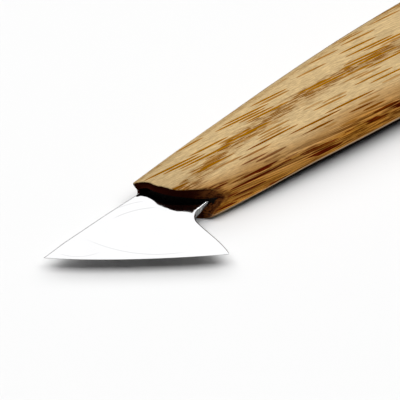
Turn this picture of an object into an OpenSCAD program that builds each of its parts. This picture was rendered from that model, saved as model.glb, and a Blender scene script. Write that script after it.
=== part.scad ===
// Wood carving knife: a skew blade with ground faces, glued into a one-piece handle.
// The knife lies on the flat underside of the handle, all sizes in millimetres.
// X runs from the tip to the butt, Y to the spine side, Z up.

/* [Blade] */
// Length of the cutting edge from tip to heel
edge_length = 40; // [36:1:44]
// Angle between the cutting edge and the handle axis
skew_angle = 34.9; // [32:0.1:38]
// Distance from the tip to the handle, along the axis
blade_reach = 26.4; // [25:0.1:28]
// Distance of the tip from the handle axis, towards the spine
tip_offset = 2.1; // [1:0.1:3]
// Outward bow of the cutting edge at its middle
edge_bow = 0.5; // [0.3:0.1:0.8]
// Thickness left at the cutting edge
edge_thickness = 0.12; // [0.06:0.02:0.3]
// Thickness of the blade stock
stock_thickness = 3.2; // [2.8:0.1:3.4]
// Height of the middle of the blade over the underside of the handle
blade_height = 4.3; // [4:0.1:4.8]

/* [Grind] */
// Slope of each ground face, in degrees
grind_slope = 2.5; // [2.2:0.1:2.8]
// Distance from the cutting edge to where the grind starts to run out
grind_depth = 11; // [10:0.5:12]
// Radius of the run-out at the back of each ground face
runout_radius = 22; // [18:1:28]

/* [Neck and tang] */
// Distance of the spine from the handle axis where it meets the handle
spine_offset = 4.2; // [3.8:0.1:4.6]
// Distance of the lower edge of the neck from the handle axis
neck_offset = 6.7; // [6:0.1:7]
// Radius of the inside corner between heel and neck
neck_fillet = 2.6; // [1.6:0.1:3]
// Backward lean of the heel side from the corner to the heel
heel_lean = 0.4; // [0.2:0.1:0.8]
// Width of the shoulder between the spine and the tang
shoulder = 1.5; // [1.2:0.1:2]
// Length of the tang behind the spine's end
tang_length = 46; // [38:1:54]
// Narrowing of the tang on each side from the handle mouth to its end
tang_taper = 1.2; // [0.6:0.1:1.6]
// Radius of the glue notches in the edges of the tang
notch_radius = 1.1; // [0.8:0.1:1.4]
// Number of glue notches on each edge
notch_count = 3; // [2:1:4]

/* [Slot] */
// Glue gap around the tang
glue_gap = 0.4; // [0.3:0.05:0.6]
// Extra slot width below the neck
slot_extra = 0.3; // [0.1:0.1:0.5]
// Depth of the wider mouth of the slot
mouth_depth = 4; // [3:0.5:6]
// Height of the mouth over and under the blade stock
mouth_gap = 1.2; // [0.8:0.1:1.5]
// Distance of the glue from the front face of the handle
glue_recess = 1.1; // [0.6:0.1:1.4]
// Distance from the shoulder of the blade to the front face of the handle
shoulder_gap = 0.2; // [0.15:0.05:0.3]

/* [Handle] */
// Length of the handle from the spine's end to the butt
handle_length = 134; // [120:1:150]
// Place of the widest section, as a share of the handle length
belly_share = 0.65; // [0.6:0.01:0.7]
// Width of the handle at its front
front_width = 14.2; // [13.8:0.1:15]
// Width of the handle at the belly
belly_width = 25.9; // [24:0.1:30]
// Thickness of the handle at its front
front_thickness = 9.15; // [8.8:0.05:10]
// Thickness of the handle at the belly
belly_thickness = 14.2; // [13:0.1:18]
// Depth of the rounded sides as a share of half the thickness
side_ratio = 0.8; // [0.7:0.05:1]
// Height of the widest place of the section at the front
front_belly_height = 2.7; // [2.4:0.1:4.4]
// Slant of the front face against a square cut, in degrees
front_slant = 44; // [40:0.5:48]
// Forward bow of the front face
front_bow = 0.85; // [0.4:0.05:1.2]
// Sanding back of the blunt upper corner of the front face
corner_cut = 3.2; // [2:0.1:4.4]
// Size of the eased edge around the front face
lip_ease = 0.4; // [0.2:0.05:0.6]
// Exponent of the butt outline, higher is blunter
butt_bluntness = 3.2; // [2.6:0.1:4]

/* [Hidden] */
front_x = -0.4*handle_length;
butt_x = front_x + handle_length;
belly_x = front_x + belly_share*handle_length;

// Slopes of the handle outline at the front, per millimetre
width_slope = 0.12;
thickness_slope = 0.055;
butt_fullness = 2.2;

// Front face: middle and half length of its bow, roll-back of the pointed corner, fuller blunt corner
face_mid = (spine_offset - neck_offset)/2;
face_half = (spine_offset + neck_offset)/2;
corner_roll = 0.45;
corner_fullness = 0.25;

// Sanded back corner: its reach inwards from the neck's edge and outwards, its lower end and its rise
cut_inward = 1.7;
cut_outward = 1.8;
cut_low = 2;
cut_rise = 6;

// Stretch of the handle over which the widest place rises to half the thickness, from the front
rise_start = 15;
rise_end = 40;

tip = [front_x - blade_reach, tip_offset];
heel = tip + edge_length*[cos(skew_angle), -sin(skew_angle)];
root_x = heel.x - heel_lean;
neck_y = -neck_offset;
tang_end_x = front_x + tang_length;
tang_top = spine_offset - shoulder;
tang_start_x = face_x(neck_y) + mouth_depth;
half_stock = stock_thickness/2;

// Heel side, and the fillet that touches both the heel side and the neck
heel_way = unit([heel_lean, heel.y - neck_y]);
heel_normal = [-heel_way.y, heel_way.x];
fillet_x = root_x + neck_fillet*(1 + heel_normal.y)/heel_normal.x;
fillet_centre = [fillet_x, neck_y - neck_fillet];
heel_root = fillet_centre - neck_fillet*heel_normal;

spine_end = [front_x - shoulder_gap, spine_offset];
edge_radius = edge_length*edge_length/(8*edge_bow) + edge_bow/2;

slot_top = tang_top + glue_gap;
slot_bottom = neck_y - glue_gap - slot_extra;
slot_half = half_stock + glue_gap;
slot_end_x = tang_end_x + glue_gap;
mouth_half = half_stock + mouth_gap;

// Reach of cutting tools past the object
past = 30;
past_edge = 2;

// Steps of a line across the front face
line_steps = 8;

// Steps of the handle mesh: round a side, front to belly, belly to butt, across the front face
side_steps = 14;
front_steps = 26;
butt_steps = 16;
face_steps = 3;
side_points = side_steps + 1;
ring_points = 2*side_points;
$fn = 96;
wheel_sides = 720;

function unit(v) = v/norm(v);

function smooth_step(t) = let (c = max(0, min(1, t))) c*c*(3 - 2*c);

// Smooth curve from v0 with slope m0 to v1 with slope zero, t from 0 to 1
function ease_out(t, v0, m0, v1) =
    v0*(1 - 3*t*t + 2*t*t*t) + m0*(t - 2*t*t + t*t*t) + v1*(3*t*t - 2*t*t*t);

function front_share(x) = (x - front_x)/(belly_x - front_x);

function butt_share(x) = min(1, (x - belly_x)/(butt_x - belly_x));

function butt_scale(x) = pow(1 - pow(butt_share(x), butt_bluntness), 1/butt_fullness);

function half_width(x) = x < belly_x
    ? ease_out(front_share(x), front_width/2, width_slope*(belly_x - front_x), belly_width/2)
    : belly_width/2*butt_scale(x);

function half_thickness(x) = x < belly_x
    ? ease_out(front_share(x), front_thickness, thickness_slope*(belly_x - front_x), belly_thickness)/2
    : belly_thickness/2*butt_scale(x);

function rise_share(x) = smooth_step((x - front_x - rise_start)/(rise_end - rise_start));

function middle_z(x) = x < belly_x ? half_thickness(x) : belly_thickness/2;

// Height of the widest place of a section
function wide_z(x) = middle_z(x) - (front_thickness/2 - front_belly_height)*(1 - rise_share(x));

// Direction angle of point k of a section: first the lower Y side, then the upper Y side
function point_angle(k) = k < side_points
    ? -90 - 180*k/side_steps
    : 90 - 180*(k - side_points)/side_steps;

// Depth of the rounded sides: the flats run out towards the butt, which ends as an ellipsoid
function side_depth(x) =
    let (plain = side_ratio*half_thickness(x))
    x < belly_x ? plain : plain + (half_width(x) - plain)*pow(butt_share(x), 2);

function section_y(x, k) =
    let (depth = side_depth(x), flat = half_width(x) - depth)
    (k < side_points ? -flat : flat) + depth*cos(point_angle(k));

function section_z(x, k) =
    let (angle = point_angle(k), bottom = middle_z(x) - half_thickness(x))
    sin(angle) < 0
        ? wide_z(x) + (wide_z(x) - bottom)*sin(angle)
        : wide_z(x) + (middle_z(x) + half_thickness(x) - wide_z(x))*sin(angle);

// Front face in plan: a slanted line with a slight bow, a rolled back corner on the spine side
// and a fuller corner on the other side
function face_x(y) =
    front_x + tan(front_slant)*(spine_offset - y)
    - front_bow*(1 - smooth_step(abs(y - face_mid)/face_half))
    + corner_roll*pow(max(0, y - spine_offset), 2)
    - corner_fullness*pow(max(0, -neck_offset - y), 2);

// Front face with its blunt upper corner sanded back
function worn_face_x(y, z) =
    let (across = max(0, cut_inward - neck_offset - y)/(cut_inward + cut_outward))
    face_x(y) + corner_cut*pow(across, 2)*smooth_step((z - cut_low)/cut_rise);

// Place where the long line k of the handle meets the front face
function line_start(k, x = front_x, n = 12) = n == 0
    ? x
    : line_start(k, worn_face_x(section_y(x, k), section_z(x, k)), n - 1);

starts = [for (k = [0:ring_points - 1]) line_start(k)];

// Middle of the front face
face_centre = [face_x(0), 0, middle_z(face_x(0))];

function rim_point(k) = [starts[k], section_y(starts[k], k), section_z(starts[k], k)];

// A point on the front face, at a share of the way from its middle to its rim
function face_point(k, share) =
    let (p = face_centre + share*(rim_point(k) - face_centre))
    [worn_face_x(p.y, p.z), p.y, p.z];

rim_share = 1 - 2*lip_ease/front_thickness;

// Long positions behind the eased edge, as shares from the line's start to the belly and the butt
function line_x(k, j) = j <= front_steps
    ? starts[k] + lip_ease + (belly_x - starts[k] - lip_ease)*j/front_steps
    : belly_x + (butt_x - belly_x)*sin(90*(j - front_steps)/butt_steps);

function body_point(k, j) = let (x = line_x(k, j)) [x, section_y(x, k), section_z(x, k)];

body_rings = front_steps + butt_steps;
ring_total = face_steps + body_rings;

handle_points = concat(
    [face_centre],
    [for (j = [1:face_steps], k = [0:ring_points - 1]) face_point(k, rim_share*j/face_steps)],
    [for (j = [0:body_rings - 1], k = [0:ring_points - 1]) body_point(k, j)],
    [[butt_x, 0, belly_thickness/2]]);

function ring_index(j, k) = 1 + j*ring_points + k%ring_points;

handle_faces = concat(
    [for (k = [0:ring_points - 1]) [0, ring_index(0, k), ring_index(0, k + 1)]],
    [for (j = [0:ring_total - 2], k = [0:ring_points - 1])
        [ring_index(j, k), ring_index(j + 1, k), ring_index(j + 1, k + 1)]],
    [for (j = [0:ring_total - 2], k = [0:ring_points - 1])
        [ring_index(j, k), ring_index(j + 1, k + 1), ring_index(j, k + 1)]],
    [for (k = [0:ring_points - 1])
        [ring_index(ring_total - 1, k), len(handle_points) - 1, ring_index(ring_total - 1, k + 1)]]);

// Plan of the blade, with a block in the corner where the fillet goes;
// spine and heel side run past the cutting edge
module blade_plan() {
    polygon([
        tip + past_edge*unit(tip - spine_end),
        heel + past_edge*heel_way,
        heel_root,
        fillet_centre,
        [fillet_x, neck_y],
        [tang_start_x, neck_y],
        [tang_end_x, neck_y + tang_taper],
        [tang_end_x, tang_top - tang_taper],
        [tang_start_x, tang_top],
        [face_x(tang_top) - shoulder_gap, tang_top],
        spine_end
    ]);
}

// Places things along the cutting edge: X from tip to heel, Y into the blade
module at_edge() {
    translate([tip.x, tip.y, 0])
        rotate(-skew_angle)
            children();
}

// What the grinding takes off one face, as a section across the cutting edge:
// a flat bevel up to the start of the run-out, then a round
module ground_off() {
    length = edge_length + 2*past;
    start = [grind_depth, edge_thickness/2 + grind_depth*tan(grind_slope)];
    centre = start + runout_radius*[-sin(grind_slope), cos(grind_slope)];
    translate([-past, 0, 0])
        rotate([90, 0, 90])
            linear_extrude(length)
                polygon([
                    [-past, edge_thickness/2 - past*tan(grind_slope)],
                    start,
                    centre,
                    [-past, centre.y]
                ]);
    translate([-past, centre.x, centre.y])
        rotate([0, 90, 0])
            cylinder(h = length, r = runout_radius, $fn = wheel_sides);
}

module grinding() {
    at_edge() {
        ground_off();
        mirror([0, 0, 1])
            ground_off();
    }
}

// Disc with the bowed cutting edge as its rim
module edge_disc() {
    at_edge()
        translate([edge_length/2, edge_radius - edge_bow, 0])
            cylinder(h = 2*stock_thickness, r = edge_radius, center = true, $fn = wheel_sides);
}

// Half-round notches that key the tang in the glue
module glue_notches() {
    for (i = [1:notch_count]) {
        share = i/(notch_count + 1);
        x = tang_start_x + share*(tang_end_x - tang_start_x);
        for (y = [neck_y + share*tang_taper, tang_top - share*tang_taper])
            translate([x, y, 0])
                cylinder(h = 2*stock_thickness, r = notch_radius, center = true);
    }
}

module blade() {
    color("gainsboro")
        translate([0, 0, blade_height])
            difference() {
                intersection() {
                    linear_extrude(stock_thickness, center = true)
                        blade_plan();
                    edge_disc();
                }
                grinding();
                glue_notches();
                translate([fillet_centre.x, fillet_centre.y, 0])
                    cylinder(h = 2*stock_thickness, r = neck_fillet, center = true);
            }
}

// Line across the slot that follows the front face at a distance behind it
function face_line(y0, y1, behind) =
    [for (i = [0:line_steps]) let (y = y0 + (y1 - y0)*i/line_steps) [face_x(y) + behind, y]];

// Slot for the tang with its wider mouth, starting at a distance behind the front face
module slot(behind) {
    translate([0, 0, blade_height]) {
        linear_extrude(2*slot_half, center = true)
            polygon(concat(
                face_line(slot_bottom, slot_top, behind),
                [[slot_end_x, slot_top], [slot_end_x, slot_bottom]]));
        linear_extrude(2*mouth_half, center = true)
            polygon(concat(
                face_line(neck_y, tang_top, behind),
                face_line(tang_top, neck_y, mouth_depth)));
    }
}

module handle() {
    color("burlywood")
        difference() {
            polyhedron(handle_points, handle_faces, convexity = 6);
            slot(-past);
        }
}

module epoxy() {
    color([0.1, 0.09, 0.08])
        difference() {
            slot(glue_recess);
            blade();
        }
}

blade();
handle();
epoxy();
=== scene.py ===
"""Wood carving knife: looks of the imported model, in Blender units of metres."""

from math import atan2, ceil, cos, hypot, pi, radians, sin, sqrt, tan

import bpy
import numpy as np
from mathutils import Matrix, Vector
from mathutils.geometry import delaunay_2d_cdt


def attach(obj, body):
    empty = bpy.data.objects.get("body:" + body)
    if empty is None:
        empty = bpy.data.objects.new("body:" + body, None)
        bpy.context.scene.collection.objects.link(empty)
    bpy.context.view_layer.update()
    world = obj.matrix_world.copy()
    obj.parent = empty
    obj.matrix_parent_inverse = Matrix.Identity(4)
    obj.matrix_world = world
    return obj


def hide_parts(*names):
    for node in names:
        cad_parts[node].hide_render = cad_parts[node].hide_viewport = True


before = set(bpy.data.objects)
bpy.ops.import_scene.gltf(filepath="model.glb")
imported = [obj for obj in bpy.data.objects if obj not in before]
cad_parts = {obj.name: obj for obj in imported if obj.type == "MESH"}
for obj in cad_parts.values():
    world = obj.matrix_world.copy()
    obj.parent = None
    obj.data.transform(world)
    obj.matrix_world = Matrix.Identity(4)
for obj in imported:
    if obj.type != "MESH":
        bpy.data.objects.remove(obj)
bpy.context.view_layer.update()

MM = 0.001
TINY = 1e-6
NOT_ZERO = 1e-12

# Blade, the same sizes as the part's source, in millimetres
EDGE_LENGTH = 40.0
SKEW_ANGLE = radians(34.9)
BLADE_REACH = 26.4
TIP_OFFSET = 2.1
EDGE_THICKNESS = 0.12
STOCK_THICKNESS = 3.2
BLADE_HEIGHT = 4.3
GRIND_SLOPE = radians(2.5)
SPINE_OFFSET = 4.2
NECK_OFFSET = 6.7
NECK_FILLET = 2.6
HEEL_LEAN = 0.4
SHOULDER = 1.5
TANG_LENGTH = 46.0
TANG_TAPER = 1.2
NOTCH_RADIUS = 1.1
NOTCH_COUNT = 3

# Slot, the same sizes as the part's source
GLUE_GAP = 0.4
MOUTH_DEPTH = 4.0

# Handle, the same sizes as the part's source
HANDLE_LENGTH = 134.0
FRONT_SHARE = 0.4
BELLY_SHARE = 0.65
FRONT_WIDTH = 14.2
BELLY_WIDTH = 25.9
FRONT_THICKNESS = 9.15
BELLY_THICKNESS = 14.2
SIDE_RATIO = 0.8
FRONT_BELLY_HEIGHT = 2.7
FRONT_SLANT = radians(44.0)
FRONT_BOW = 0.85
LIP_EASE = 0.4
BUTT_BLUNTNESS = 3.2
BUTT_FULLNESS = 2.2
WIDTH_SLOPE = 0.12
THICKNESS_SLOPE = 0.055
CORNER_ROLL = 0.45
CORNER_FULLNESS = 0.25
RISE_START = 15.0
RISE_END = 40.0

# Places that follow from the sizes
FRONT_X = -FRONT_SHARE*HANDLE_LENGTH
BUTT_X = FRONT_X + HANDLE_LENGTH
BELLY_X = FRONT_X + BELLY_SHARE*HANDLE_LENGTH
FACE_MID = (SPINE_OFFSET - NECK_OFFSET)/2
FACE_HALF = (SPINE_OFFSET + NECK_OFFSET)/2
HALF_STOCK = STOCK_THICKNESS/2
TIP = np.array([FRONT_X - BLADE_REACH, TIP_OFFSET])
EDGE_WAY = np.array([cos(SKEW_ANGLE), -sin(SKEW_ANGLE)])
EDGE_INWARD = np.array([sin(SKEW_ANGLE), cos(SKEW_ANGLE)])
HEEL = TIP + EDGE_LENGTH*EDGE_WAY
NECK_Y = -NECK_OFFSET
TANG_TOP = SPINE_OFFSET - SHOULDER
TANG_END_X = FRONT_X + TANG_LENGTH
SLOT_END_X = TANG_END_X + GLUE_GAP

# Worn front end: a notch, a tongue and a dip in the upper lip, and corners sanded back
CHIN_RATIO = 0.55
NEAR_RATIO = 0.8
FAR_RATIO = 0.65
FAR_SLIM, FAR_SLIM_FROM, FAR_SLIM_SPAN = 0.3, 8.0, 30.0
NOTCH_AT, NOTCH_HALF, NOTCH_DEPTH = 3.4, 2.7, 1.1
TONGUE_AT, TONGUE_HALF, TONGUE_LENGTH = -2.6, 3.2, 0.95
DIP_AT, DIP_HALF, DIP_DEPTH = -6.8, 2.6, 1.0
RAGGED_LIP = 0.06
# Each wave of the ragged lip: turn per millimetre, phase and share of the height
RAGGED_WAVES = ((5.1, 0.0, 1.0), (11.3, 1.0, 0.6))
NEAR_CUT, NEAR_CUT_FROM, NEAR_CUT_SPAN = 4.4, -5.0, 3.5
NEAR_CUT_LOW, NEAR_CUT_RISE = 2.0, 5.0
FAR_SETBACK, FAR_SETBACK_FROM, FAR_SETBACK_SPAN = 1.5, 3.0, 1.6
LIP_DROP = 0.5

# Worn mouth of the slot
MOUTH_TOP = 7.9
MOUTH_BOTTOM = 2.7
MOUTH_FAR = 4.6
MOUTH_NEAR = -6.8
MOUTH_NEAR_TOP, MOUTH_NEAR_TOP_Z = -7.6, 6.3
MOUTH_CORNER = 1.9
MOUTH_TIGHT_CORNER = 0.45
MOUTH_RING_DEPTHS = (0.25, 0.7, 1.5, MOUTH_DEPTH)

# Blade where its looks differ from the part's source
EDGE_BOW = 0.65
UPPER_SLOPE = radians(4.3)
ROOT_RISE, ROOT_RISE_FROM, ROOT_RISE_SPAN = 0.46, 9.0, 8.0
ROOT_RISE_LOW_Y, ROOT_RISE_HIGH_Y = -1.5, 4.2
ROOT_HALF = 1.42
RUNOUT_END = 12.6
RUNOUT_SPAN = 3.5
NECK_DROP, NECK_DROP_HIGH_Y, NECK_DROP_LOW_Y = 0.25, -5.0, -7.2
NECK_SWELL = 0.35
NECK_NARROWING = 0.5
NECK_INSIDE = 1.0
NECK_CHAMFER, NECK_CHAMFER_WIDTH = 1.0, 1.6
SHOULDER_INSIDE = 1.6
SPINE_END = np.array([FRONT_X + SHOULDER_INSIDE, SPINE_OFFSET])
SPINE_ROUND = 0.36
ROUND_SHARE = 0.8

# The spine swells a little from the tip to the root, and the heel side near the heel
SPINE_SWELL_ROOT, SPINE_SWELL_TIP, SPINE_FALL_FROM = 0.52, 0.92, 0.76
RISE_ALLOWANCE = 1.1
HEEL_SWELL = 0.45
# Greatest value of share*(1 - share)**2
HEEL_CURVE_PEAK = 4/27

# The tip stands this far to the spine side of the CAD tip, which eases out along the edge
TIP_RAISE, TIP_RAISE_POWER = 0.5, 6

# Fineness of the meshes
SIDE_STEPS = 30
FLAT_STEPS = 14
FRONT_RINGS = 130
RING_CROWDING = 0.45
BUTT_RINGS = 46
LIP_RINGS = 5
START_ROUNDS = 16
FACE_PITCH = 0.45
FACE_CLEARANCE = 0.6*FACE_PITCH
SLOT_CORNER_STEPS = 6
SLOT_SIDE_STEPS = 22
SLOT_END_STEPS = 5
BLADE_PITCH = 0.7
OUTLINE_PITCH = 0.35
TANG_PITCH = 2.0
FILLET_STEPS = 16
NOTCH_STEPS = 10
BORDER_RINGS = (0.25, 0.6, 1.0)
BORDER_CLEARANCE = 0.97
GRID_CLEARANCE = 1.6*SPINE_ROUND
GRID_BEFORE_TIP, GRID_PAST_HEEL, GRID_DEPTH, GRID_INSIDE = 2.0, 6.0, 34.0, 3.0
HANDLE_SHARP = radians(50)
BLADE_SHARP = radians(40)

# Where a point of the handle lies, for its material
ON_BODY, ON_FRONT, IN_SLOT = 0.0, 1.0, 2.0
NOMINAL_THICKNESS = 11.5


def ease_out(t, v0, m0, v1):
    """Smooth curve from v0 with slope m0 to v1 with slope zero."""
    return v0*(1 - 3*t*t + 2*t**3) + m0*(t - 2*t*t + t**3) + v1*(3*t*t - 2*t**3)


def smooth_step(t):
    c = np.clip(t, 0, 1)
    return c*c*(3 - 2*c)


def bump_at(y, centre, half):
    """Smooth bump of height one around a place."""
    return smooth_step(1 - abs(y - centre)/half)


def butt_share(x):
    return min(1.0, (x - BELLY_X)/(BUTT_X - BELLY_X))


def butt_scale(x):
    return (1 - butt_share(x)**BUTT_BLUNTNESS)**(1/BUTT_FULLNESS)


def swelling(x, front, slope, belly):
    """Half of a size that grows from the front to the belly and closes in the butt."""
    if x >= BELLY_X:
        return belly/2*butt_scale(x)
    length = BELLY_X - FRONT_X
    return ease_out((x - FRONT_X)/length, front, slope*length, belly)/2


def half_width(x):
    return swelling(x, FRONT_WIDTH, 2*WIDTH_SLOPE, BELLY_WIDTH)


def half_thickness(x):
    return swelling(x, FRONT_THICKNESS, THICKNESS_SLOPE, BELLY_THICKNESS)


def middle_z(x):
    return half_thickness(x) if x < BELLY_X else BELLY_THICKNESS/2


def rise_share(x):
    return smooth_step((x - FRONT_X - RISE_START)/(RISE_END - RISE_START))


def wide_z(x):
    """Height of the widest place of a section."""
    return middle_z(x) - (FRONT_THICKNESS/2 - FRONT_BELLY_HEIGHT)*(1 - rise_share(x))


def side_depth(x, corner):
    """Depth of a rounded side; its corners are squarer at the front by their own ratio."""
    ratio = corner + (SIDE_RATIO - corner)*rise_share(x)
    plain = ratio*half_thickness(x)
    if x < BELLY_X:
        return plain
    return plain + (half_width(x) - plain)*butt_share(x)**2


def straight_face_x(y):
    """Slanted front face of the handle in plan, before it is bowed or worn."""
    return FRONT_X + tan(FRONT_SLANT)*(SPINE_OFFSET - y)


def face_x(y):
    """Front face of the handle in plan, as in the part's source."""
    x = straight_face_x(y)
    x -= FRONT_BOW*(1 - smooth_step(abs(y - FACE_MID)/FACE_HALF))
    x += CORNER_ROLL*max(0.0, y - SPINE_OFFSET)**2
    return x - CORNER_FULLNESS*max(0.0, NECK_Y - y)**2


def worn_face_x(y, z):
    """Front face as it is worn: wavy upper lip, near corner sanded off, far corner set back low."""
    lip = straight_face_x(y) + CORNER_ROLL*max(0.0, y - SPINE_OFFSET)**2
    lip += NOTCH_DEPTH*bump_at(y, NOTCH_AT, NOTCH_HALF)
    lip -= TONGUE_LENGTH*bump_at(y, TONGUE_AT, TONGUE_HALF)
    lip += DIP_DEPTH*bump_at(y, DIP_AT, DIP_HALF)
    lip += RAGGED_LIP*sum(height*sin(rate*y + phase) for rate, phase, height in RAGGED_WAVES)
    rise = smooth_step((z - MOUTH_TOP + LIP_DROP)/(FRONT_THICKNESS - MOUTH_TOP))
    x = face_x(y) + rise*(lip - face_x(y))
    across = max(0.0, NEAR_CUT_FROM - y)/NEAR_CUT_SPAN
    x += NEAR_CUT*across**2*smooth_step((z - NEAR_CUT_LOW)/NEAR_CUT_RISE)
    low = 1 - smooth_step((z - BLADE_HEIGHT)/(FRONT_THICKNESS - BLADE_HEIGHT))
    return x + FAR_SETBACK*low*smooth_step((y - FAR_SETBACK_FROM)/FAR_SETBACK_SPAN)


def section_pattern():
    """Points of a handle section: share across the flat, and the direction on the rounded side."""
    pattern = []
    for side, start in ((-1, -pi/2), (1, pi/2)):
        for i in range(SIDE_STEPS):
            a = start - pi*i/SIDE_STEPS
            pattern.append((float(side), cos(a), sin(a)))
        for i in range(FLAT_STEPS):
            pattern.append((side - side*2*i/FLAT_STEPS, 0.0, -float(side)))
    return pattern


SECTION = section_pattern()


def section_point(x, k):
    """Point k of the handle's section at a place along it."""
    across, c, s = SECTION[k]
    slim = 0.0
    if across > 0:
        slim = FAR_SLIM*smooth_step((x - FRONT_X - FAR_SLIM_FROM)/FAR_SLIM_SPAN)
        slim *= 1 - butt_share(max(x, BELLY_X))
    if c == 0:
        near = half_width(x) - side_depth(x, NEAR_RATIO if s > 0 else CHIN_RATIO)
        far = half_width(x) - side_depth(x, FAR_RATIO if s > 0 else CHIN_RATIO)
        y = -near + (near + far - slim)*(across + 1)/2
        return np.array([x, y, middle_z(x) + half_thickness(x)*s])
    depth = side_depth(x, CHIN_RATIO if s < 0 else NEAR_RATIO if across < 0 else FAR_RATIO)
    flat = half_width(x) - depth
    edge = middle_z(x) + half_thickness(x)*(1 if s >= 0 else -1)
    return np.array([x, across*flat + depth*c - slim, wide_z(x) + abs(edge - wide_z(x))*s])


def line_start(k):
    """Place along the handle where long line k meets the front face."""
    x = FRONT_X
    for _ in range(START_ROUNDS):
        _, y, z = section_point(x, k)
        x = worn_face_x(y, z)
    return x


def triangulate(points, loops):
    """Delaunay triangles inside closed loops of point numbers."""
    links = [(a, b) for loop in loops for a, b in zip(loop, loop[1:] + loop[:1])]
    spots = [Vector((float(p[0]), float(p[1]))) for p in points]
    out = delaunay_2d_cdt(spots, links, [], 1, TINY)
    assert len(out[0]) == len(points), "two outline points coincide"
    first = [ids[0] for ids in out[3]]
    return [tuple(first[i] for i in f) for f in out[2]]


def inside(points, loop):
    """Which points lie inside a closed loop of corners."""
    points = np.asarray(points, float)
    loop = np.asarray(loop, float)
    hit = np.zeros(len(points), bool)
    for a, b in zip(loop, np.roll(loop, -1, axis=0)):
        crosses = (a[1] > points[:, 1]) != (b[1] > points[:, 1])
        rise = b[1] - a[1] if b[1] != a[1] else NOT_ZERO
        at = a[0] + (points[:, 1] - a[1])*(b[0] - a[0])/rise
        hit ^= crosses & (points[:, 0] < at)
    return hit


def distance_to(points, loop, closed=True):
    """Distance of each point from a line of corners."""
    points = np.asarray(points, float)
    loop = np.asarray(loop, float)
    ends = np.roll(loop, -1, axis=0) if closed else loop[1:]
    best = np.full(len(points), np.inf)
    for a, b in zip(loop, ends):
        ab = b - a
        share = np.clip(((points - a) @ ab)/max(ab @ ab, NOT_ZERO), 0, 1)
        best = np.minimum(best, np.linalg.norm(points - a - share[:, None]*ab, axis=1))
    return best


def run_between(a, b, pitch):
    """Points from a up to b, b left out."""
    a, b = np.asarray(a, float), np.asarray(b, float)
    count = max(1, ceil(np.linalg.norm(b - a)/pitch))
    return [a + (b - a)*i/count for i in range(count)]


def arc(centre, radius, start, end, steps):
    """Points on an arc, the last one left out."""
    angles = [start + (end - start)*i/steps for i in range(steps)]
    return [np.array([centre[0] + radius*cos(a), centre[1] + radius*sin(a)]) for a in angles]


def make_piece(name, points, faces, sharp_angle, marks=None):
    """A mesh object from millimetre points, shaded smooth up to an angle."""
    mesh = bpy.data.meshes.new(name)
    mesh.from_pydata([Vector(p)*MM for p in points], [], faces)
    mesh.validate()
    for key, values in (marks or {}).items():
        layer = mesh.attributes.new(key, "FLOAT", "POINT")
        layer.data.foreach_set("value", np.asarray(values, np.float32))
    mesh.shade_smooth()
    mesh.set_sharp_from_angle(angle=sharp_angle)
    piece = bpy.data.objects.new(name, mesh)
    bpy.context.scene.collection.objects.link(piece)
    return piece


# Handle

def slot_outline(corners):
    """Closed outline of (y, z) points from four rounded corners, each (y, z, radius)."""
    out = []
    for i, (y, z, radius) in enumerate(corners):
        start = -pi/2 + i*pi/2
        steps = (SLOT_END_STEPS, SLOT_SIDE_STEPS)[i % 2]
        out += arc((y, z), radius, start, start + pi/2, SLOT_CORNER_STEPS)
        next_y, next_z, next_radius = corners[(i + 1) % len(corners)]
        outward = np.array([cos(start + pi/2), sin(start + pi/2)])
        a = np.array([y, z]) + radius*outward
        b = np.array([next_y, next_z]) + next_radius*outward
        out += [a + (b - a)*k/steps for k in range(steps)]
    return out


def mouth_outline():
    """Worn mouth of the slot: its near end leans outward and up past the neck."""
    r, tight = MOUTH_CORNER, MOUTH_TIGHT_CORNER
    return slot_outline([
        (MOUTH_FAR - r, MOUTH_BOTTOM + r, r),
        (MOUTH_FAR - r, MOUTH_TOP - r, r),
        (MOUTH_NEAR_TOP + tight, MOUTH_NEAR_TOP_Z - tight, tight),
        (MOUTH_NEAR + r, MOUTH_BOTTOM + r, r),
    ])


def tang_slot_outline():
    """Slot around the tang, wider than it by the glue on every side."""
    low, high = BLADE_HEIGHT - HALF_STOCK, BLADE_HEIGHT + HALF_STOCK
    corners = ((TANG_TOP, low), (TANG_TOP, high), (NECK_Y, high), (NECK_Y, low))
    return slot_outline([(y, z, GLUE_GAP) for y, z in corners])


def on_front(y, z):
    """Point of the worn front face."""
    return np.array([worn_face_x(y, z), y, z])


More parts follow.
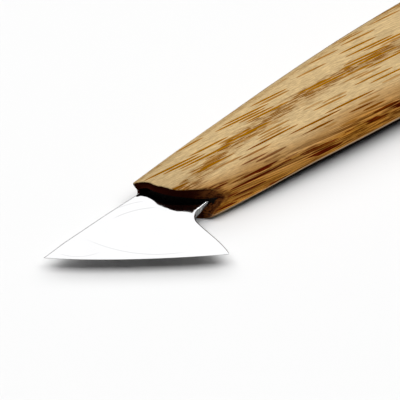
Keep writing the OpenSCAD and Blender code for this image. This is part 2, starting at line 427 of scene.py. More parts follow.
class HandleMesh:
    """Points and faces of the handle, and the part of it on which each point lies."""

    def __init__(self):
        self.points, self.faces, self.zones = [], [], []

    def add(self, p, zone):
        self.points.append(np.asarray(p, float))
        self.zones.append(zone)
        return len(self.points) - 1

    def stitch(self, a, b):
        """Faces between two closed rings of point numbers."""
        for i in range(len(a)):
            j = (i + 1) % len(a)
            self.faces.append((a[i], b[i], b[j], a[j]))

    def add_body(self):
        """Rim of the front face, rounded lip, long body and butt. Returns the rim's numbers."""
        count = len(SECTION)
        starts = [line_start(k) for k in range(count)]
        centre = np.array([face_x(0), 0.0, middle_z(face_x(0))])
        rim_share = 1 - 2*LIP_EASE/FRONT_THICKNESS
        rim, corner, first = [], [], []
        for k in range(count):
            edge = section_point(starts[k], k)
            corner.append(edge)
            rim.append(on_front(*(centre + rim_share*(edge - centre))[1:]))
            first.append(section_point(starts[k] + LIP_EASE, k))
        rings = [[self.add(p, ON_FRONT) for p in rim]]
        for j in range(1, LIP_RINGS + 1):
            t = j/LIP_RINGS
            ring = [(1 - t)**2*a + 2*t*(1 - t)*b + t*t*c for a, b, c in zip(rim, corner, first)]
            rings.append([self.add(p, ON_FRONT + (ON_BODY - ON_FRONT)*t) for p in ring])
        for j in range(1, FRONT_RINGS + 1):
            t = j/FRONT_RINGS
            share = t*(1 - RING_CROWDING + RING_CROWDING*t)
            ring = []
            for k in range(count):
                x0 = starts[k] + LIP_EASE
                ring.append(self.add(section_point(x0 + (BELLY_X - x0)*share, k), ON_BODY))
            rings.append(ring)
        for j in range(1, BUTT_RINGS):
            x = BELLY_X + (BUTT_X - BELLY_X)*sin(pi/2*j/BUTT_RINGS)
            rings.append([self.add(section_point(x, k), ON_BODY) for k in range(count)])
        for a, b in zip(rings, rings[1:]):
            self.stitch(a, b)
        pole = self.add([BUTT_X, 0.0, BELLY_THICKNESS/2], ON_BODY)
        last = rings[-1]
        for i in range(count):
            self.faces.append((last[i], pole, last[(i + 1) % count]))
        return rings[0]

    def add_front(self, rim):
        """Front face around the mouth, meshed in (y, z). Returns the mouth's numbers."""
        mouth = mouth_outline()
        outer = [tuple(self.points[i][1:]) for i in rim]
        lowest, highest = np.min(outer, axis=0), np.max(outer, axis=0)
        y_values, z_values = (np.arange(a, b, FACE_PITCH) for a, b in zip(lowest, highest))
        grid = np.array([(y, z) for y in y_values for z in z_values])
        keep = inside(grid, outer) & ~inside(grid, mouth)
        keep &= distance_to(grid, outer) > FACE_CLEARANCE
        keep &= distance_to(grid, mouth) > FACE_CLEARANCE
        flat = outer + [tuple(p) for p in mouth] + [tuple(p) for p in grid[keep]]
        numbers = rim + [self.add(on_front(y, z), ON_FRONT) for y, z in flat[len(rim):]]
        rim_end, mouth_end = len(rim), len(rim) + len(mouth)
        triangles = triangulate(flat, [list(range(rim_end)), list(range(rim_end, mouth_end))])
        middles = [np.mean([flat[i] for i in t], axis=0) for t in triangles]
        for t, hole in zip(triangles, inside(middles, mouth)):
            if not hole:
                self.faces.append(tuple(numbers[i] for i in reversed(t)))
        return numbers[rim_end:mouth_end]

    def add_slot(self, edge):
        """Walls of the mouth from its edge inward, the step behind them, and the tang's slot."""
        for depth in MOUTH_RING_DEPTHS:
            ring = [self.add((worn_face_x(y, z) + depth, y, z), IN_SLOT)
                    for y, z in mouth_outline()]
            self.stitch(ring, edge)
            edge = ring
        slot = tang_slot_outline()
        back = [self.add((face_x(y) + MOUTH_DEPTH, y, z), IN_SLOT) for y, z in slot]
        self.stitch(back, edge)
        end = [self.add((SLOT_END_X, y, z), IN_SLOT) for y, z in slot]
        self.stitch(end, back)
        self.faces.append(tuple(end))

    def marks(self):
        """Values at the points that the material reads."""
        def level(x, z):
            return z*NOMINAL_THICKNESS/(middle_z(x) + half_thickness(x) + TINY)

        return {
            "front": self.zones,
            "depth": [level(x, z) for x, _, z in self.points],
            "behind": [x - worn_face_x(y, z) for x, y, z in self.points],
            "side": [y/max(half_width(x), LIP_EASE) for x, y, _ in self.points],
            "low": [z/wide_z(x) for x, _, z in self.points],
        }


def build_handle():
    shell = HandleMesh()
    rim = shell.add_body()
    mouth_edge = shell.add_front(rim)
    shell.add_slot(mouth_edge)
    return make_piece("handle_oak", shell.points, shell.faces, HANDLE_SHARP, shell.marks())


# Blade

def grind_heights(t):
    """Heights of the upper face, one flat bevel up to the stock, and the lower, which runs out."""
    upper = np.minimum(HALF_STOCK, EDGE_THICKNESS/2 + t*tan(UPPER_SLOPE))
    bevel = np.minimum(HALF_STOCK, EDGE_THICKNESS/2 + t*tan(GRIND_SLOPE))
    runout = smooth_step(1 - (RUNOUT_END - t)/RUNOUT_SPAN)
    return upper, bevel + np.maximum(0, ROOT_HALF - bevel)*runout


def root_rise(places):
    """Extra height of the upper face towards the root: up on the spine side, down at the neck."""
    places = np.atleast_2d(places)
    inward = smooth_step(((places - TIP) @ EDGE_INWARD - ROOT_RISE_FROM)/ROOT_RISE_SPAN)
    y = places[:, 1]
    up = smooth_step((y - ROOT_RISE_LOW_Y)/(ROOT_RISE_HIGH_Y - ROOT_RISE_LOW_Y))
    down = smooth_step((y - NECK_DROP_HIGH_Y)/(NECK_DROP_LOW_Y - NECK_DROP_HIGH_Y))
    return inward*(ROOT_RISE*up - NECK_DROP*down)


def swollen(line, outward, swell):
    """The points of a line moved outward by a swell that depends on the share along it."""
    return [p + outward*swell(i/len(line)) for i, p in enumerate(line)]


def spine_swell(share):
    """Swell of the spine from its root to the tip, less where the upper face rises."""
    spot = SPINE_END + share*(TIP - SPINE_END)
    full = SPINE_SWELL_ROOT + (SPINE_SWELL_TIP - SPINE_SWELL_ROOT)*share
    full -= RISE_ALLOWANCE*root_rise(spot)[0]
    fall = smooth_step((share - SPINE_FALL_FROM)/(1 - SPINE_FALL_FROM))
    return full*(1 - fall) + TIP_RAISE*fall


def heel_swell(share):
    return HEEL_SWELL*share*(1 - share)**2/HEEL_CURVE_PEAK


def edge_line():
    """Points of the bowed edge from the tip to the heel, the heel left out."""
    radius = EDGE_LENGTH**2/(8*EDGE_BOW) + EDGE_BOW/2
    steps = ceil(EDGE_LENGTH/OUTLINE_PITCH)
    line = []
    for i in range(steps):
        s = EDGE_LENGTH*i/steps
        bow = sqrt(radius**2 - (s - EDGE_LENGTH/2)**2) - (radius - EDGE_BOW)
        raised = np.array([0.0, TIP_RAISE*(1 - i/steps)**TIP_RAISE_POWER])
        line.append(TIP + s*EDGE_WAY - bow*EDGE_INWARD + raised)
    return line


def tang_side(a, b):
    """Notched side of the tang from a up to b."""
    a, b = np.array(a, float), np.array(b, float)
    along = (b - a)/np.linalg.norm(b - a)
    heading = atan2(along[1], along[0])
    line, at = [], a
    for i in range(1, NOTCH_COUNT + 1):
        spot = a + (b - a)*i/(NOTCH_COUNT + 1)
        line += run_between(at, spot - NOTCH_RADIUS*along, TANG_PITCH)
        line += arc(spot, NOTCH_RADIUS, heading + pi, heading, NOTCH_STEPS)
        at = spot + NOTCH_RADIUS*along
    return line + run_between(at, b, TANG_PITCH)


def blade_outline():
    """Closed plan of the blade with its tang, its count of edge points, and the neck's two ends."""
    neck_y = NECK_Y - NECK_SWELL
    drop = HEEL[1] - neck_y
    way = np.array([HEEL_LEAN, drop])/hypot(HEEL_LEAN, drop)
    normal = np.array([-way[1], way[0]])
    fillet_x = HEEL[0] - HEEL_LEAN + NECK_FILLET*(1 + normal[1])/normal[0]
    centre = np.array([fillet_x, neck_y - NECK_FILLET])
    heel_root = centre - NECK_FILLET*normal
    fillet_start = atan2(-normal[1], -normal[0]) + 2*pi
    neck_end = (face_x(NECK_Y) + NECK_INSIDE, neck_y + NECK_NARROWING)
    out = edge_line()
    edge_count = len(out) + 1
    out += swollen(run_between(HEEL, heel_root, OUTLINE_PITCH), normal, heel_swell)
    out += arc(centre, NECK_FILLET, fillet_start, pi/2, FILLET_STEPS)
    out += run_between((fillet_x, neck_y), neck_end, OUTLINE_PITCH)

    tang_start = face_x(NECK_Y) + MOUTH_DEPTH
    low_start, low_end = (tang_start, NECK_Y), (TANG_END_X, NECK_Y + TANG_TAPER)
    high_start, high_end = (tang_start, TANG_TOP), (TANG_END_X, TANG_TOP - TANG_TAPER)
    out += run_between(neck_end, low_start, OUTLINE_PITCH)
    out += tang_side(low_start, low_end)
    out += run_between(low_end, high_end, TANG_PITCH)
    out += tang_side(high_end, high_start)

    top_front = (face_x(TANG_TOP) + SHOULDER_INSIDE, TANG_TOP)
    outward = np.array([0.0, 1.0])
    out += run_between(high_start, top_front, OUTLINE_PITCH)
    out += run_between(top_front, SPINE_END + spine_swell(0.0)*outward, OUTLINE_PITCH)
    out += swollen(run_between(SPINE_END, TIP, OUTLINE_PITCH), outward, spine_swell)
    neck = np.array([(fillet_x - NECK_FILLET, neck_y), neck_end])
    return np.array(out), edge_count, neck


def border_rings(outline):
    """Rings of points inside the outline that carry the rounded border."""
    ahead = np.roll(outline, -1, axis=0) - np.roll(outline, 1, axis=0)
    inward = np.stack([-ahead[:, 1], ahead[:, 0]], axis=1)
    inward /= np.linalg.norm(inward, axis=1)[:, None]
    rings = []
    for share in BORDER_RINGS:
        ring = outline + share*SPINE_ROUND*inward
        clear = distance_to(ring, outline) > BORDER_CLEARANCE*share*SPINE_ROUND
        rings.append(ring[clear & inside(ring, outline)])
    return rings


def blade_grid(outline):
    """Points inside the outline: rows along the edge up to the mouth, and a coarser net behind."""
    s_values = np.arange(-GRID_BEFORE_TIP, EDGE_LENGTH + GRID_PAST_HEEL, BLADE_PITCH)
    t_values = np.arange(-EDGE_BOW, GRID_DEPTH, BLADE_PITCH)
    grid = np.array([TIP + s*EDGE_WAY + t*EDGE_INWARD for s in s_values for t in t_values])
    grid = grid[grid[:, 0] < face_x(NECK_Y) + GRID_INSIDE]
    tang_x = np.arange(face_x(NECK_Y) + MOUTH_DEPTH, TANG_END_X, TANG_PITCH)
    tang_y = np.arange(NECK_Y, TANG_TOP, TANG_PITCH)
    grid = np.vstack([grid, np.array([(x, y) for x in tang_x for y in tang_y])])
    return grid[inside(grid, outline) & (distance_to(grid, outline) > GRID_CLEARANCE)]


def build_blade():
    outline, edge_count, neck = blade_outline()
    flat = np.vstack([outline] + border_rings(outline) + [blade_grid(outline)])
    triangles = triangulate(flat, [list(range(len(outline)))])

    # Faces of the grind, rounded along every border but the edge
    back_line = np.vstack([outline[edge_count - 1:], outline[:1]])
    border = np.minimum(distance_to(flat, back_line, closed=False), SPINE_ROUND)/SPINE_ROUND
    rounding = 1 - np.sqrt(np.clip(1 - (1 - border)**2, 0, 1))
    upper, lower = (half - np.minimum(SPINE_ROUND, ROUND_SHARE*half)*rounding
                    for half in grind_heights((flat - TIP) @ EDGE_INWARD))
    upper = upper + root_rise(flat)

    # Chamfer under the neck, deeper towards the mouth
    near_neck = 1 - distance_to(flat, neck, closed=False)/NECK_CHAMFER_WIDTH
    along_neck = smooth_step((flat[:, 0] - neck[0, 0])/(neck[1, 0] - neck[0, 0]))
    lower = lower - NECK_CHAMFER*np.clip(near_neck, 0, 1)**2*along_neck

    total, size = len(flat), len(outline)
    points = [(x, y, BLADE_HEIGHT + h) for (x, y), h in zip(flat, upper)]
    points += [(x, y, BLADE_HEIGHT - h) for (x, y), h in zip(flat, lower)]
    faces = list(triangles) + [(c + total, b + total, a + total) for a, b, c in triangles]
    for i in range(size):
        j = (i + 1) % size
        faces.append((i, i + total, j + total, j))
    return make_piece("blade_steel", points, faces, BLADE_SHARP)


# Materials

def is_socket(value):
    return isinstance(value, bpy.types.NodeSocket)


class Graph:
    """Short calls for building a material's nodes."""

    def __init__(self, name):
        self.material = bpy.data.materials.new(name)
        self.material.use_nodes = True
        self.tree = self.material.node_tree
        self.shader = self.tree.nodes["Principled BSDF"]

    def put(self, socket, value):
        if is_socket(value):
            self.tree.links.new(value, socket)
        else:
            socket.default_value = value

    def add(self, kind, settings=None, inputs=()):
        node = self.tree.nodes.new("ShaderNode" + kind)
        for key, value in (settings or {}).items():
            setattr(node, key, value)
        for socket, value in zip(node.inputs, inputs):
            self.put(socket, value)
        return node

    def named(self, kind, settings=None, **inputs):
        """A node whose inputs are given by name."""
        node = self.add(kind, settings)
        for key, value in inputs.items():
            self.put(node.inputs[key.replace("_", " ")], value)
        return node

    def math(self, kind, a, b=0.0, c=0.0):
        return self.add("Math", {"operation": kind}, (a, b, c)).outputs[0]

    def times(self, *values):
        product = values[0]
        for value in values[1:]:
            product = self.math("MULTIPLY", product, value)
        return product

    def weighted(self, base, *terms):
        """The base plus each value times its weight."""
        for value, weight in terms:
            base = self.math("MULTIPLY_ADD", value, weight, base)
        return base

    def noise(self, place, detail=2.0, roughness=0.5, scale=1.0):
        return self.named("TexNoise", Vector=place, Scale=scale, Detail=detail,
                          Roughness=roughness).outputs["Fac"]

    def ramp(self, value, low, high, to_low=0.0, to_high=1.0):
        node = self.named("MapRange", {"interpolation_type": "SMOOTHSTEP"}, Value=value,
                          From_Min=low, From_Max=high, To_Min=to_low, To_Max=to_high)
        return node.outputs["Result"]

    def mix(self, share, a, b):
        a, b = (c if is_socket(c) else (*c, 1.0) for c in (a, b))
        return self.named("Mix", {"data_type": "RGBA"}, Factor=share, A=a, B=b).outputs["Result"]

    def scaled(self, vector, factor):
        node = self.named("VectorMath", {"operation": "SCALE"}, Vector=vector, Scale=factor)
        return node.outputs[0]

    def tint(self, colour, factors):
        return self.add("VectorMath", {"operation": "MULTIPLY"}, (colour, factors)).outputs[0]

    def combine(self, x, y, z):
        return self.add("CombineXYZ", None, (x, y, z)).outputs[0]

    def separate(self, vector):
        return self.add("SeparateXYZ", None, (vector,)).outputs

    def attribute(self, name):
        return self.add("Attribute", {"attribute_name": name}).outputs["Fac"]

    def millimetres(self):
        return self.separate(self.scaled(self.add("TexCoord").outputs["Object"], 1/MM))

    def bump(self, height, strength, distance):
        return self.named("Bump", Height=height, Strength=strength,
                          Distance=distance).outputs["Normal"]

    def finish(self, **inputs):
        for key, value in inputs.items():
            name = key.replace("_", " ")
            if name == "Base Color" and not is_socket(value):
                value = (*value, 1.0)
            self.put(self.shader.inputs[name], value)
        return self.material


# Oak: direction of the fibres, and the growth rings across them, in millimetres
GRAIN_TURN = radians(6.3)
RING_TILT = radians(13.7)
RING_SPACING = 4.2
RING_SHIFT = 0.453
RING_BEND, RING_RISE = -29.0, 0.044
RING_WAVER = 0.2

# Colours of the oak
PALE_WOOD = (0.470, 0.337, 0.170)
# Golden tone, also used as painted shade: the near side takes this darker, browner colour
GOLDEN_TONE_AND_SHADE = (0.345, 0.147, 0.019)
EARLY_WOOD = (0.205, 0.088, 0.010)
PORE_GOLDEN = (0.255, 0.100, 0.001)
PORE_BROWN = (0.170, 0.060, 0.003)
PORE_RED = (0.085, 0.007, 0.0005)
# Dark end grain, set darker still as painted shade of the face turned from the light
END_GRAIN = (0.017, 0.0028, 0.0014)
END_GRAIN_LIT = (0.115, 0.037, 0.009)
# Painted shadow on the underside of the handle next to the floor
UNDERSIDE_SHADOW = (0.004, 0.0015, 0.0006)
# Painted shade: the wood inside the slot's mouth is set near black
MOUTH_SHADE_BLACK = (0.0015, 0.0012, 0.001)

# Noises of the oak: scale along and across the fibres, shift along them, detail and roughness
ACROSS_WANDER, ACROSS_WANDER_SIZE = (0.05, 0.2, 3.0, 1.0, 0.5), 0.5
LEVEL_WANDER, LEVEL_WANDER_SIZE = (0.05, 0.2, 9.0, 1.0, 0.5), 0.15
RING_NOISE = (0.16, 1.1, 5.0, 2.0, 0.5)
FIBRE_NOISE = (0.1, 5.0, 0.0, 3.0, 0.6)
GRIT_NOISE = (0.9, 6.0, 11.0, 2.0, 0.6)
CLOUD_NOISE = (0.05, 0.2, 21.0, 2.0, 0.5)
STREAK_NOISE = (0.12, 6.0, 31.0, 2.0, 0.6)
STRIPE_NOISE = (0.03, 3.2, 41.0, 3.0, 0.65)
CRACK_SCALE, CRACK_DETAIL, CRACK_ROUGHNESS = 1.4, 4.0, 0.7

# Pores: size of a cell, its length along the fibres, radius, and share of the cells that hold one
LONG_PORES = (NOMINAL_THICKNESS/16.5, 16.0, 0.26, 0.5)
SHORT_PORES = (NOMINAL_THICKNESS/33.5, 7.0, 0.14, 0.9)
PORE_SEED = 1.5
PORE_STAGGER = 57.0
PORE_SCATTER = 0.5
PORE_FLATTENING = 0.6
PORE_REACH, PORE_REACH_SPREAD = 0.28, 0.7
PORE_EDGE = (-0.15, 0.2)

# Weights and ramps of the oak: a ramp leads from two values to 0 and 1, or to the next two
RING_ON_TOP = (-0.75, -0.35)
EARLY_RISE, EARLY_FALL = (0.0, 0.07), (0.27, 0.15)
FRONT_END = (-34.0, -50.0)
# The side's weight on the gold paints shade on the near side
GOLD_BASE, GOLD_BY_CLOUD, GOLD_SHADE_BY_SIDE, GOLD_BY_FRONT = -0.85, 0.6, -1.2, 0.4
GOLD_RANGE = (0.0, 0.8)
STREAK_RANGE = (0.42, 0.58)
EARLY_BASE, EARLY_BY_STREAK = 0.15, 0.6
FAR_LINE_RISE, FAR_LINE_FALL = (0.6, 0.68), (0.78, 0.7)
FAR_LINE_BASE, FAR_LINE_BY_STREAK = 0.08, 0.45
RED_BASE, RED_BY_SIDE, RED_BY_TONE = -0.2, -1.0, 0.4
RED_BY_PLACE = (-30.0, -12.0, 0.0, -0.35)
LONG_RED, SHORT_RED = (0.15, 0.75), (-0.2, -0.8)
LONG_STRENGTH = (0.0, 0.6, 0.5, 1.0)
FIBRE_SHADE = (0.25, 0.75, 0.74, 1.2)
GRIT_SHADE = (0.25, 0.75, 0.84, 1.14)
FRONT_SHADE = (0.0, 1.0, 1.0, 0.87)
# Painted shade: the wood darkens along the far edge, where the side turns away
FAR_SHADE = (0.74, 0.86, 1.0, 0.6)
# Painted shade: the lowest wood, next to the floor, is darkened all round
FLOOR_SHADE = (1.7, 0.7, 1.0, 0.2)
NEAR_SIDE = (-0.78, -0.96)
STRIPE_RANGE = (0.4, 0.6, 0.5, 1.8)
STRIPE_BY_LEVEL = (5.5, 2.4, 0.95, 1.75)
STRIPE_GREEN_POWER = 0.4
# Painted highlight on the near side's lower arris, and painted shadow on the underside
ARRIS_LOW, ARRIS_PLACE, ARRIS_HIGHLIGHT = (0.8, 0.72), (-46.0, -38.0), 0.85
UNDER_LOW, UNDER_SIDE, UNDER_PLACE = (0.7, 0.63), (-0.5, -0.7), (-45.0, -31.0)
SANDED_SIDE, SANDED_CRACKS = (-4.4, -7.4), (0.38, 0.6)
STAIN_BASE, STAIN_BY_DISTANCE, STAIN_BY_CRACKS = -0.7, -0.5, 2.4
STAIN_RANGE, STAIN_SIDE, STAIN_STRENGTH = (0.0, 0.5), (-5.0, -7.0), 0.75
SLOT_RANGE, FACE_RANGE = (1.1, 1.6), (0.45, 0.8)
WOOD_ROUGHNESS = (0.0, 1.0, 0.48, 1.0)
ARRIS_GLOSS = 0.5
FIBRE_HEIGHT = 0.3
GRAIN_STRENGTH, GRAIN_DISTANCE = 0.3, 0.1*MM


class Oak(Graph):
    """Oiled oak: growth rings and pores along the handle, dark end grain on its front face."""

    def __init__(self):
        super().__init__("oiled_oak")
        self.x, self.y, self.z = self.millimetres()
        self.level = self.attribute("depth")
        self.side = self.attribute("side")
        c, s = cos(GRAIN_TURN), sin(GRAIN_TURN)
        self.along = self.math("SUBTRACT", self.times(self.x, c), self.times(self.y, s))
        self.across = self.math("ADD", self.times(self.x, s), self.times(self.y, c))
        self.fibre = self.fibre_noise(FIBRE_NOISE)
        self.streak = self.ramp(self.fibre_noise(STREAK_NOISE), *STREAK_RANGE)
        self.front_end = self.ramp(self.x, *FRONT_END)
        self.near_side = self.ramp(self.side, *NEAR_SIDE)

        # The fibres wander slowly along the handle
        self.wavy_across = self.math("ADD", self.across,
                                     self.wander(ACROSS_WANDER, ACROSS_WANDER_SIZE))
        self.wavy_level = self.math("ADD", self.level,
                                    self.wander(LEVEL_WANDER, LEVEL_WANDER_SIZE))

    def fibre_noise(self, settings):
        """Noise drawn out along the fibres."""
        along, across, shift, detail, roughness = settings
        place = self.combine(self.math("MULTIPLY_ADD", self.along, along, shift),
                             self.times(self.across, across), self.times(self.z, across))
        return self.noise(place, detail, roughness)

    def wander(self, settings, size):
        return self.times(self.math("SUBTRACT", self.fibre_noise(settings), 0.5), size)

    def early_wood(self):
        """Share of porous early wood in the growth rings, which bend on top of the handle."""
        ring = self.math("SUBTRACT", self.times(self.z, cos(RING_TILT)),
                         self.times(self.wavy_across, sin(RING_TILT)))
        past_bend = self.math("MAXIMUM", self.math("SUBTRACT", self.along, RING_BEND), 0.0)
        on_top = self.ramp(self.side, *RING_ON_TOP)
        ring = self.weighted(ring, (self.times(past_bend, on_top), -RING_RISE))
        start = self.weighted(RING_SHIFT - RING_WAVER/2,
                              (self.fibre_noise(RING_NOISE), RING_WAVER))
        phase = self.math("FRACT", self.weighted(start, (ring, 1/RING_SPACING)))
        return self.times(self.ramp(phase, *EARLY_RISE), self.ramp(phase, *EARLY_FALL))

    def plain_wood(self, early):
        """Wood without pores: golden on the near side, partly wood tone and partly painted shade of
        the side turned from the light, with darker early wood and far edge.
        """
        # More gold towards the near side is painted shade; the cloud and the front end give real
        # tone
        gold = self.weighted(GOLD_BASE, (self.fibre_noise(CLOUD_NOISE), GOLD_BY_CLOUD),
                             (self.side, GOLD_SHADE_BY_SIDE), (self.front_end, GOLD_BY_FRONT))
        wood = self.mix(self.ramp(gold, *GOLD_RANGE), PALE_WOOD, GOLDEN_TONE_AND_SHADE)
        share = self.weighted(EARLY_BASE, (self.streak, EARLY_BY_STREAK))
        wood = self.mix(self.times(early, share), wood, EARLY_WOOD)
        far_line = self.times(self.ramp(self.side, *FAR_LINE_RISE),
                              self.ramp(self.side, *FAR_LINE_FALL))
        share = self.weighted(FAR_LINE_BASE, (self.streak, FAR_LINE_BY_STREAK))
        return self.mix(self.times(far_line, share), wood, EARLY_WOOD)

    def chance(self, place):
        return self.named("TexWhiteNoise", {"noise_dimensions": "3D"}, Vector=place).outputs

    def pores(self, cell, length, radius, density):
        """Slender pores scattered in cells along the fibres: their mask and a tone for each."""
        a, b = self.times(self.wavy_across, 1/cell), self.times(self.wavy_level, 1/cell)
        row, deck = self.math("FLOOR", a), self.math("FLOOR", b)
        lane = self.chance(self.combine(row, deck, PORE_SEED))["Value"]
        t = self.weighted(self.times(self.along, 1/length), (lane, PORE_STAGGER))
        pick = self.chance(self.combine(row, deck, self.math("FLOOR", t)))
        red, green, blue = self.add("SeparateColor", None, (pick["Color"],)).outputs

        def offset(value, shift):
            middle = self.math("SUBTRACT", self.math("FRACT", value), 0.5)
            spread = self.times(self.math("SUBTRACT", shift, 0.5), PORE_SCATTER)
            return self.math("SUBTRACT", middle, spread)

        da, db = offset(a, red), self.times(offset(b, green), PORE_FLATTENING)
        away = self.math("SQRT", self.math("ADD", self.times(da, da), self.times(db, db)))
        reach = self.weighted(PORE_REACH, (blue, PORE_REACH_SPREAD))
        swing = self.math("MULTIPLY_ADD", self.math("FRACT", t), 2.0, -1.0)
        share = self.math("DIVIDE", self.math("ABSOLUTE", swing), reach)
        slim = self.math("SUBTRACT", 1.0, self.times(share, share))
        slim = self.math("SQRT", self.math("MAXIMUM", slim, 0.0))
        edge = self.math("SUBTRACT", self.times(slim, radius/cell), away)
        mask = self.ramp(edge, *(limit*radius/cell for limit in PORE_EDGE))
        return self.times(mask, self.math("LESS_THAN", pick["Value"], density)), blue

    def with_pores(self, wood, early):
        """Long scattered pores, and short crowded ones in the early wood: colour and mask."""
        long_pore, tone = self.pores(*LONG_PORES)
        short_pore = self.times(self.pores(*SHORT_PORES)[0], early)
        redness = self.weighted(RED_BASE, (self.side, RED_BY_SIDE), (tone, RED_BY_TONE))
        redness = self.math("ADD", redness, self.ramp(self.x, *RED_BY_PLACE))
        long_colour = self.mix(self.ramp(redness, *LONG_RED), PORE_GOLDEN, PORE_RED)
        short_colour = self.mix(self.ramp(self.side, *SHORT_RED), PORE_BROWN, PORE_RED)
        wood = self.mix(short_pore, wood, short_colour)
        strength = self.times(long_pore, self.ramp(tone, *LONG_STRENGTH))
        wood = self.mix(strength, wood, long_colour)
        return wood, self.math("MAXIMUM", long_pore, short_pore)

    def shaded(self, wood):
        """Fibres, wood darker at the front end, and painted shade along the far edge and on the
        lowest wood next to the floor.
        """
        shade = self.times(self.ramp(self.fibre, *FIBRE_SHADE),
                           self.ramp(self.fibre_noise(GRIT_NOISE), *GRIT_SHADE),
                           self.ramp(self.front_end, *FRONT_SHADE),
                           # Painted shade along the far edge
                           self.ramp(self.side, *FAR_SHADE),
                           # Painted shade next to the floor
                           self.ramp(self.level, *FLOOR_SHADE))
        return self.scaled(wood, shade)

    def striped(self, wood):
        """Stripes on the near side. Dark ones turn red: they take more green and blue."""
        stripe = self.times(self.ramp(self.fibre_noise(STRIPE_NOISE), *STRIPE_RANGE),
                            self.ramp(self.level, *STRIPE_BY_LEVEL))
        dark = self.math("MINIMUM", stripe, 1.0)
        reddened = self.combine(1.0, self.math("POWER", dark, STRIPE_GREEN_POWER), dark)
        return self.mix(self.near_side, wood, self.tint(self.scaled(wood, stripe), reddened))

    def with_painted_underside(self, wood):
        """Painted highlight on the near side's lower arris, over painted shadow on the underside
        next to the floor: colour and both shares.
        """
        low = self.attribute("low")
        arris = self.times(self.ramp(low, *ARRIS_LOW), self.near_side,
                           self.ramp(self.x, *ARRIS_PLACE))
        under = self.times(self.ramp(low, *UNDER_LOW), self.ramp(self.side, *UNDER_SIDE),
                           self.ramp(self.x, *UNDER_PLACE))
        # Painted highlight: the lower arris is paled
        wood = self.mix(self.times(arris, ARRIS_HIGHLIGHT), wood, PALE_WOOD)
        # Painted shadow: the underside is set near black
        return self.mix(under, wood, UNDERSIDE_SHADOW), arris, under

    def with_front(self, wood):
        """Dark end grain on the front face, set darker still as painted shade, lighter on the
        sanded corner, with painted shade in the black mouth of the slot: colour and share.
        """
        front = self.attribute("front")
        cracks = self.noise(self.combine(0.0, self.times(self.y, CRACK_SCALE),
                                         self.times(self.z, CRACK_SCALE)),
                            CRACK_DETAIL, CRACK_ROUGHNESS)
        sanded = self.times(self.ramp(self.y, *SANDED_SIDE), self.ramp(cracks, *SANDED_CRACKS))
        # End grain darkened further as painted shade
        face = self.mix(sanded, END_GRAIN, END_GRAIN_LIT)
        # Painted shade: near-black walls inside the mouth
        face = self.mix(self.ramp(front, *SLOT_RANGE), face, MOUTH_SHADE_BLACK)
        stain = self.weighted(STAIN_BASE, (self.attribute("behind"), STAIN_BY_DISTANCE),
                              (cracks, STAIN_BY_CRACKS))
        stain = self.times(self.ramp(stain, *STAIN_RANGE), self.ramp(self.y, *STAIN_SIDE))
        wood = self.mix(self.times(stain, STAIN_STRENGTH), wood, END_GRAIN_LIT)
        on_face = self.ramp(front, *FACE_RANGE)
        return self.mix(on_face, wood, face), on_face


def oak():
    g = Oak()
    early = g.early_wood()
    wood, pores = g.with_pores(g.plain_wood(early), early)
    wood, arris, under = g.with_painted_underside(g.striped(g.shaded(wood)))
    wood, on_face = g.with_front(wood)
    gloss = g.times(g.math("SUBTRACT", arris, under), ARRIS_GLOSS)
    height = g.math("SUBTRACT", g.times(g.fibre, FIBRE_HEIGHT), pores)
    return g.finish(Base_Color=wood, Roughness=g.ramp(on_face, *WOOD_ROUGHNESS),
                    Specular_IOR_Level=gloss,
                    Normal=g.bump(height, GRAIN_STRENGTH, GRAIN_DISTANCE))


# Steel: polished faces with a faint haze, and sideways-facing walls and borders set darker as
# painted shade
STEEL = (0.537, 0.537, 0.542)
# Painted shade: darker steel for faces turned sideways, in place of their dimmer reflections
STEEL_SIDE_SHADE = (0.16, 0.166, 0.16)
DULL_BLACK = (0.0, 0.0, 0.0)
HAZE_SCALE, HAZE_DETAIL, HAZE_RANGE = 0.25, 3.0, (0.4, 0.8, 0.0, 0.012)
BORDER_FACING = (0.85, 0.4)
BORDER_SCALES, BORDER_STRIPES = (2.2, 2.2, 0.2), (0.3, 0.7, 0.45, 1.0)
STEEL_ROUGHNESS = (0.0, 1.0, 0.06, 0.25)

# Faint polishing marks on the ground face: two ends in plan, bow at the middle and strength
POLISH_MARKS = (
    ((-70.2, 2.2), (-53.2, -15.2), -2.5, 0.16),
    ((-77.0, 2.0), (-69.0, -3.6), -1.2, 0.14),
    ((-62.2, 2.1), (-52.0, -1.4), 0.7, 0.2),
    ((-60.4, 3.8), (-53.4, 1.6), 0.3, 0.16),
)
POLISH_WIDTH = 0.16
POLISH_FADE = 0.2


def polish_mark(g, x, y, start, end, bow):
    """Mask of one bowed mark between two places."""
    (x0, y0), (x1, y1) = start, end
    span = hypot(x1 - x0, y1 - y0)
    ax, ay = (x1 - x0)/span, (y1 - y0)/span
    dx, dy = g.math("SUBTRACT", x, x0), g.math("SUBTRACT", y, y0)
    along = g.math("MULTIPLY_ADD", dx, ax/span, g.times(dy, ay/span))
    across = g.math("MULTIPLY_ADD", dy, ax, g.times(dx, -ay))
    curve = g.times(along, g.math("SUBTRACT", 1.0, along), 4*bow)
    near = g.ramp(g.math("ABSOLUTE", g.math("SUBTRACT", across, curve)), POLISH_WIDTH, 0.0)
    within = g.times(g.ramp(along, 0.0, POLISH_FADE), g.ramp(along, 1.0, 1 - POLISH_FADE))
    return g.times(near, within)


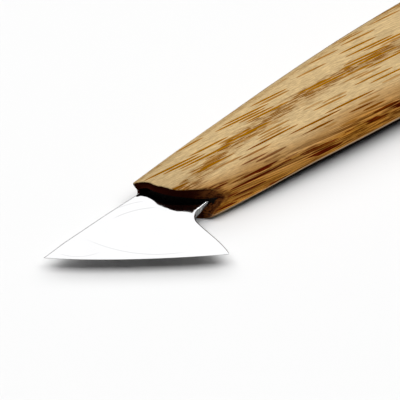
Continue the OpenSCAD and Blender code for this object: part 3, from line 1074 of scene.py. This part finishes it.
def steel():
    g = Graph("polished_steel")
    x, y, z = g.millimetres()
    haze = g.noise(g.combine(g.times(x, HAZE_SCALE), g.times(y, HAZE_SCALE), 0.0), HAZE_DETAIL)
    dull = g.ramp(haze, *HAZE_RANGE)
    for start, end, bow, strength in POLISH_MARKS:
        dull = g.weighted(dull, (polish_mark(g, x, y, start, end, bow), strength))
    up = g.separate(g.add("NewGeometry").outputs["Normal"])[2]
    border = g.ramp(g.math("ABSOLUTE", up), *BORDER_FACING)
    place = g.combine(*(g.times(value, scale) for value, scale in zip((x, y, z), BORDER_SCALES)))
    base = g.mix(dull, STEEL, DULL_BLACK)
    # Faces turned sideways take the darker steel as painted shade, in noise stripes
    share = g.times(border, g.ramp(g.noise(place), *BORDER_STRIPES))
    return g.finish(Base_Color=g.mix(share, base, STEEL_SIDE_SHADE), Metallic=1.0,
                    Roughness=g.ramp(border, *STEEL_ROUGHNESS))


# Glue
GLUE_DARK = (0.002, 0.0016, 0.0015)
GLUE_DUSTY = (0.008, 0.006, 0.005)
GLUE_SCALE, GLUE_DETAIL = 1.8, 3.0
GLUE_DUST = (0.35, 0.7)
GLUE_ROUGHNESS = (0.3, 0.7, 0.5, 0.8)
GLUE_GLOSS = 0.02


def glue():
    g = Graph("dark_epoxy")
    grain = g.noise(g.combine(*g.millimetres()), GLUE_DETAIL, scale=GLUE_SCALE)
    return g.finish(Base_Color=g.mix(g.ramp(grain, *GLUE_DUST), GLUE_DARK, GLUE_DUSTY),
                    Roughness=g.ramp(grain, *GLUE_ROUGHNESS), Specular_IOR_Level=GLUE_GLOSS)


# Pieces
handle = build_handle()
handle.data.materials.append(oak())
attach(handle, "root")
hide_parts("handle")

blade = build_blade()
blade.data.materials.append(steel())
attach(blade, "root")
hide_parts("blade")

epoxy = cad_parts["epoxy"]
epoxy.data.materials.clear()
epoxy.data.materials.append(glue())

# Floor, a hair below the handle's underside
HALF_FLOOR = 2.0
FLOOR_DROP = 0.02
FLOOR_WHITE = (0.7, 0.7, 0.7)
FLOOR_CORNERS = ((-1, -1), (1, -1), (1, 1), (-1, 1))

floor_mesh = bpy.data.meshes.new("floor")
floor_mesh.from_pydata([(HALF_FLOOR*a, HALF_FLOOR*b, 0) for a, b in FLOOR_CORNERS], [],
                       [(0, 1, 2, 3)])
floor = bpy.data.objects.new("floor", floor_mesh)
floor.location.z = -FLOOR_DROP*MM
bpy.context.scene.collection.objects.link(floor)
floor.data.materials.append(
    Graph("white_floor").finish(Base_Color=FLOOR_WHITE, Roughness=1.0, Specular_IOR_Level=0.0))

# Camera, in metres
CAMERA_AT = Vector((-282.05, -321.81, 454.90))*MM
CAMERA_TARGET = Vector((-43.21, -4.86, 4.9))*MM
LENS = 245.2
SENSOR_WIDTH = 36.0

camera_data = bpy.data.cameras.new("camera")
camera_data.lens = LENS
camera_data.sensor_width = SENSOR_WIDTH
camera = bpy.data.objects.new("camera", camera_data)
camera.location = CAMERA_AT
camera.rotation_euler = (CAMERA_TARGET - CAMERA_AT).to_track_quat("-Z", "Y").to_euler()
bpy.context.scene.collection.objects.link(camera)
bpy.context.scene.camera = camera

# Light: a softbox overhead, a panel behind, low cards that only polished faces mirror, a dim room
LIGHT_REACH = 1.6
KEY_FROM, KEY_TO, KEY_SPREAD, KEY_RADIANCE = radians(-21), radians(8), radians(34), 5.75
PANEL_FROM, PANEL_TO, PANEL_SPREAD, PANEL_RADIANCE = radians(8), radians(47), radians(42), 1.84
CARD_FROM, CARD_TO, CARD_SPREAD, CARD_RADIANCE = radians(48), radians(84), radians(44), 0.5
CARD_TURNS = {"card_back": 0.0, "card_left": pi/2, "card_front": pi, "card_right": -pi/2}
ROOM_GREY = 0.03
AWAY_FROM_CAMERA = (CAMERA_TARGET - CAMERA_AT).to_2d().normalized()


def panel_light(name, start, end, spread, radiance, turn=0.0):
    """Rectangle light between two angles from straight up, turned from the camera's heading."""
    lean = (start + end)/2
    depth = 2*LIGHT_REACH*tan((end - start)/2)
    width = 2*LIGHT_REACH*tan(spread)
    data = bpy.data.lights.new(name, "AREA")
    data.shape = "RECTANGLE"
    data.size, data.size_y = width, depth
    data.energy = radiance*pi*width*depth
    light = bpy.data.objects.new(name, data)
    heading = Matrix.Rotation(turn, 2) @ AWAY_FROM_CAMERA
    out = Vector((heading.x*sin(lean), heading.y*sin(lean), cos(lean)))
    side = Vector((heading.y, -heading.x, 0))
    along = out.cross(side)
    place = Matrix.Translation(CAMERA_TARGET + out*LIGHT_REACH)
    light.matrix_world = place @ Matrix((side, along, out)).transposed().to_4x4()
    bpy.context.scene.collection.objects.link(light)
    return light


panel_light("softbox", KEY_FROM, KEY_TO, KEY_SPREAD, KEY_RADIANCE)
panel_light("back_panel", PANEL_FROM, PANEL_TO, PANEL_SPREAD, PANEL_RADIANCE)
for name, turn in CARD_TURNS.items():
    card = panel_light(name, CARD_FROM, CARD_TO, CARD_SPREAD, CARD_RADIANCE, turn)
    card.visible_diffuse = False

world = bpy.data.worlds.new("room")
world.use_nodes = True
room = world.node_tree.nodes["Background"]
room.inputs["Color"].default_value = (ROOM_GREY, ROOM_GREY, ROOM_GREY, 1)
bpy.context.scene.world = world
bpy.context.scene.view_settings.view_transform = "Standard"
